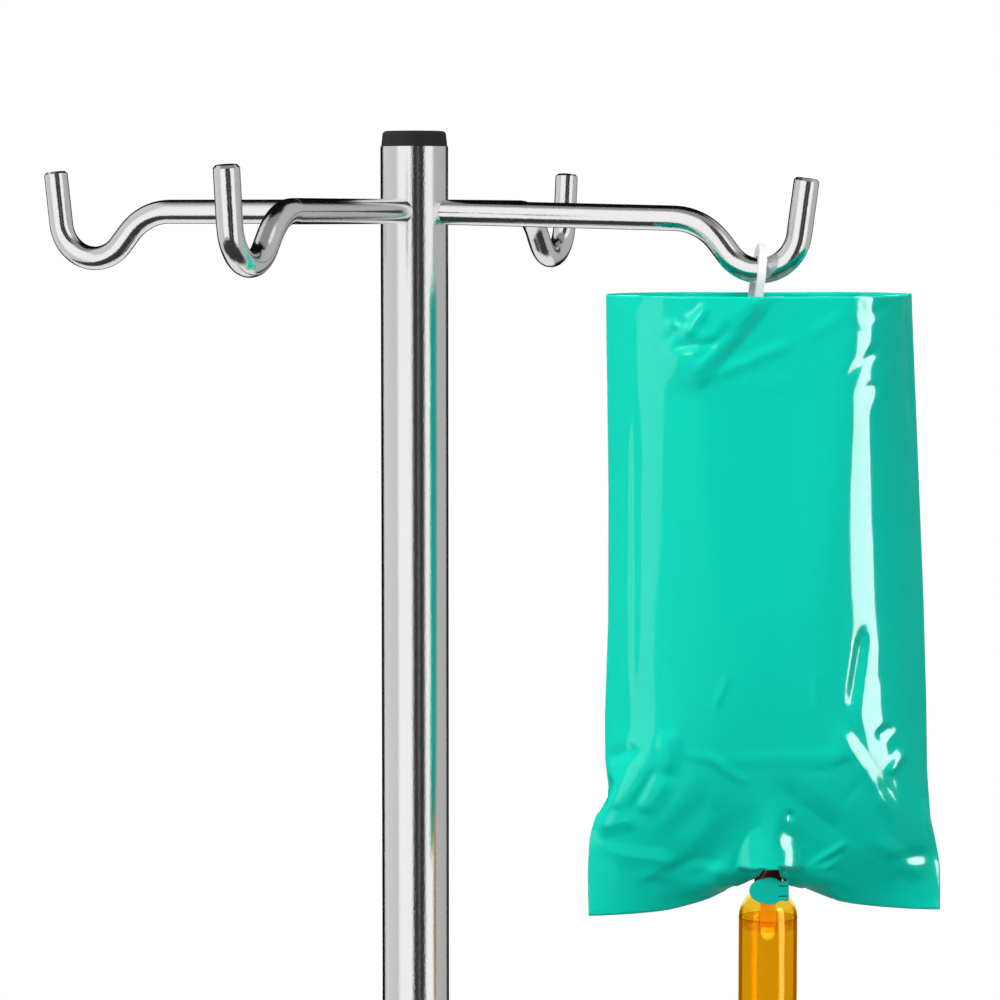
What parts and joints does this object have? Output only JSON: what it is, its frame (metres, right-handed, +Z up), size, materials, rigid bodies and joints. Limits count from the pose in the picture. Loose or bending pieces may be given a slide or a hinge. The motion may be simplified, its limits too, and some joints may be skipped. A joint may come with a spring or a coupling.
{
  "type": "IV pole",
  "caption": "Height-adjustable steel infusion stand on a caster base, with bent-rod hooks and a hung light-protected bottle with drip chamber and tubing.",
  "frame": {"origin": "on the floor, under the pole's axis", "axes": "+Z up along the pole; +X along the loaded hook arm"},
  "size_m": [0.6004, 0.5589, 1.346],
  "materials": {
    "satin_steel": "fine satin stainless steel",
    "black_plastic": "matte moulded black",
    "white_plastic": "matte moulded white",
    "grey_plastic": "matte moulded grey",
    "hanger_plastic": "slightly translucent moulding",
    "bottle_plastic": "translucent blow-moulded wall",
    "solution": "clear pale liquid",
    "stopper_rubber": "matte rubber",
    "cover_film": "glossy opaque green film",
    "dark_amber_plastic": "dark translucent red-amber",
    "amber_plastic": "clear amber",
    "clear_plastic": "clear moulding",
    "teal_plastic": "satin teal moulding",
    "filter_cloth": "fine white filter mesh",
    "tyre_rubber": "matte grey-black tread"
  },
  "bodies": {
    "base": {"base_hub": "satin_steel", "base_legs": "satin_steel", "socket_caps": "black_plastic", "base_plug": "black_plastic", "caster_stems": "satin_steel", "lower_tube": "satin_steel", "guide_bush": "white_plastic", "clamp_collar": "black_plastic"},
    "clamp_pad": {"pressure_pad": "white_plastic"},
    "clamp_knob": {"clamp_screw": "satin_steel", "knob_grip": "black_plastic"},
    "mast_foot": {"foot_bush": "white_plastic"},
    "mast": {"upper_tube": "satin_steel", "top_cap": "black_plastic", "arm_loaded": "satin_steel", "arm_back": "satin_steel", "arm_far": "satin_steel", "arm_front": "satin_steel"},
    "hanger": {"hanger_loop": "hanger_plastic"},
    "bottle_set": {"infusion_bottle": "bottle_plastic", "solution": "solution", "stopper": "stopper_rubber", "neck_ring": "white_plastic", "cover_bag": "cover_film", "spike_hub": "dark_amber_plastic", "vent_filter": "filter_cloth", "chamber_cap": "amber_plastic", "chamber_body": "amber_plastic", "fluid_filter": "filter_cloth", "tubing": "amber_plastic", "clamp_housing": "white_plastic", "luer_connector": "clear_plastic"},
    "vent_lid": {"vent_flap": "teal_plastic"},
    "roller_pin": {"roller_axle": "satin_steel"},
    "roller": {"roller_wheel": "teal_plastic"},
    "luer_lock": {"luer_collar": "teal_plastic"},
    "luer_plug": {"luer_cap": "teal_plastic"},
    "caster_1": {"caster_1_hood": "grey_plastic", "caster_1_axle": "satin_steel"},
    "wheels_1": {"caster_1_wheels": "black_plastic", "caster_1_tyres": "tyre_rubber"},
    "brake_1": {"caster_1_brake": "teal_plastic"},
    "caster_2": {"caster_2_hood": "grey_plastic", "caster_2_axle": "satin_steel"},
    "wheels_2": {"caster_2_wheels": "black_plastic", "caster_2_tyres": "tyre_rubber"},
    "caster_3": {"caster_3_hood": "grey_plastic", "caster_3_axle": "satin_steel"},
    "wheels_3": {"caster_3_wheels": "black_plastic", "caster_3_tyres": "tyre_rubber"},
    "brake_3": {"caster_3_brake": "teal_plastic"},
    "caster_4": {"caster_4_hood": "grey_plastic", "caster_4_axle": "satin_steel"},
    "wheels_4": {"caster_4_wheels": "black_plastic", "caster_4_tyres": "tyre_rubber"},
    "caster_5": {"caster_5_hood": "grey_plastic", "caster_5_axle": "satin_steel"},
    "wheels_5": {"caster_5_wheels": "black_plastic", "caster_5_tyres": "tyre_rubber"}
  },
  "joints": [
    {"name": "clamp_knob_turn", "type": "hinge", "parent": "base", "child": "clamp_knob", "pos_m": [0, -0.03, 1.02], "axis": [0, -1, 0], "range_deg": [0, 360]},
    {"name": "clamp_pad_release", "type": "slide", "parent": "base", "child": "clamp_pad", "axis": [0, -1, 0], "range_m": [0, 0.0013]},
    {"name": "mast_slide", "type": "slide", "parent": "base", "child": "mast_foot", "axis": [0, 0, 1], "range_m": [0, 0.799]},
    {"name": "mast_turn", "type": "hinge", "parent": "mast_foot", "child": "mast", "pos_m": [0, 0, 0.1], "axis": [0, 0, 1], "continuous": true},
    {"name": "hanger_swing", "type": "hinge", "parent": "mast", "child": "hanger", "pos_m": [0.11795, 0, 1.3015], "axis": [1, 0, 0], "range_deg": [-15, 15]},
    {"name": "bottle_swing", "type": "hinge", "parent": "hanger", "child": "bottle_set", "pos_m": [0.11489, -0.00136, 1.27421], "axis": [-0.4067, 0.9135, 0], "range_deg": [-8, 8]},
    {"name": "vent_flap_open", "type": "hinge", "parent": "bottle_set", "child": "vent_lid", "pos_m": [0.12925, -0.00362, 1.1071], "axis": [0, 0, 1], "range_deg": [0, 110]},
    {"name": "roller_slide", "type": "slide", "parent": "bottle_set", "child": "roller_pin", "axis": [0, 0, -1], "range_m": [0, 0.028]},
    {"name": "roller_spin", "type": "hinge", "parent": "roller_pin", "child": "roller", "pos_m": [0.12505, -0.00587, 0.884], "axis": [0.9135, 0.4067, 0], "continuous": true},
    {"name": "luer_collar_turn", "type": "hinge", "parent": "bottle_set", "child": "luer_lock", "pos_m": [0.13449, 0.00736, 0.881], "axis": [0, 0, 1], "continuous": true},
    {"name": "luer_cap_pull", "type": "slide", "parent": "luer_lock", "child": "luer_plug", "axis": [0, 0, 1], "range_m": [0, 0.012]},
    {"name": "caster_1_swivel", "type": "hinge", "parent": "base", "child": "caster_1", "pos_m": [0.272, 0, 0.052], "axis": [0, 0, 1], "continuous": true},
    {"name": "caster_1_roll", "type": "hinge", "parent": "caster_1", "child": "wheels_1", "pos_m": [0.28077, 0.01798, 0.025], "axis": [-0.8988, 0.4384, 0], "continuous": true},
    {"name": "caster_1_brake_press", "type": "hinge", "parent": "caster_1", "child": "brake_1", "pos_m": [0.29509, 0.04735, 0.02959], "axis": [-0.8988, 0.4384, 0], "range_deg": [0, 15]},
    {"name": "caster_2_swivel", "type": "hinge", "parent": "base", "child": "caster_2", "pos_m": [0.08405, 0.25869, 0.052], "axis": [0, 0, 1], "continuous": true},
    {"name": "caster_2_roll", "type": "hinge", "parent": "caster_2", "child": "wheels_2", "pos_m": [0.06436, 0.25521, 0.025], "axis": [0.1736, -0.9848, 0], "continuous": true},
    {"name": "caster_3_swivel", "type": "hinge", "parent": "base", "child": "caster_3", "pos_m": [-0.22005, 0.15988, 0.052], "axis": [0, 0, 1], "continuous": true},
    {"name": "caster_3_roll", "type": "hinge", "parent": "caster_3", "child": "wheels_3", "pos_m": [-0.23395, 0.14549, 0.025], "axis": [0.7193, -0.6947, 0], "continuous": true},
    {"name": "caster_3_brake_press", "type": "hinge", "parent": "caster_3", "child": "brake_3", "pos_m": [-0.25665, 0.12198, 0.02959], "axis": [0.7193, -0.6947, 0], "range_deg": [0, 15]},
    {"name": "caster_4_swivel", "type": "hinge", "parent": "base", "child": "caster_4", "pos_m": [-0.22005, -0.15988, 0.052], "axis": [0, 0, 1], "continuous": true},
    {"name": "caster_4_roll", "type": "hinge", "parent": "caster_4", "child": "wheels_4", "pos_m": [-0.20543, -0.17352, 0.025], "axis": [0.682, 0.7314, 0], "continuous": true},
    {"name": "caster_5_swivel", "type": "hinge", "parent": "base", "child": "caster_5", "pos_m": [0.08405, -0.25869, 0.052], "axis": [0, 0, 1], "continuous": true},
    {"name": "caster_5_roll", "type": "hinge", "parent": "caster_5", "child": "wheels_5", "pos_m": [0.10405, -0.25834, 0.025], "axis": [-0.0175, 0.9998, 0], "continuous": true}
  ],
  "couplings": [
    {"joint": "clamp_pad_release", "follows": "clamp_knob_turn", "m_per_rad": 0.00019894}
  ]
}
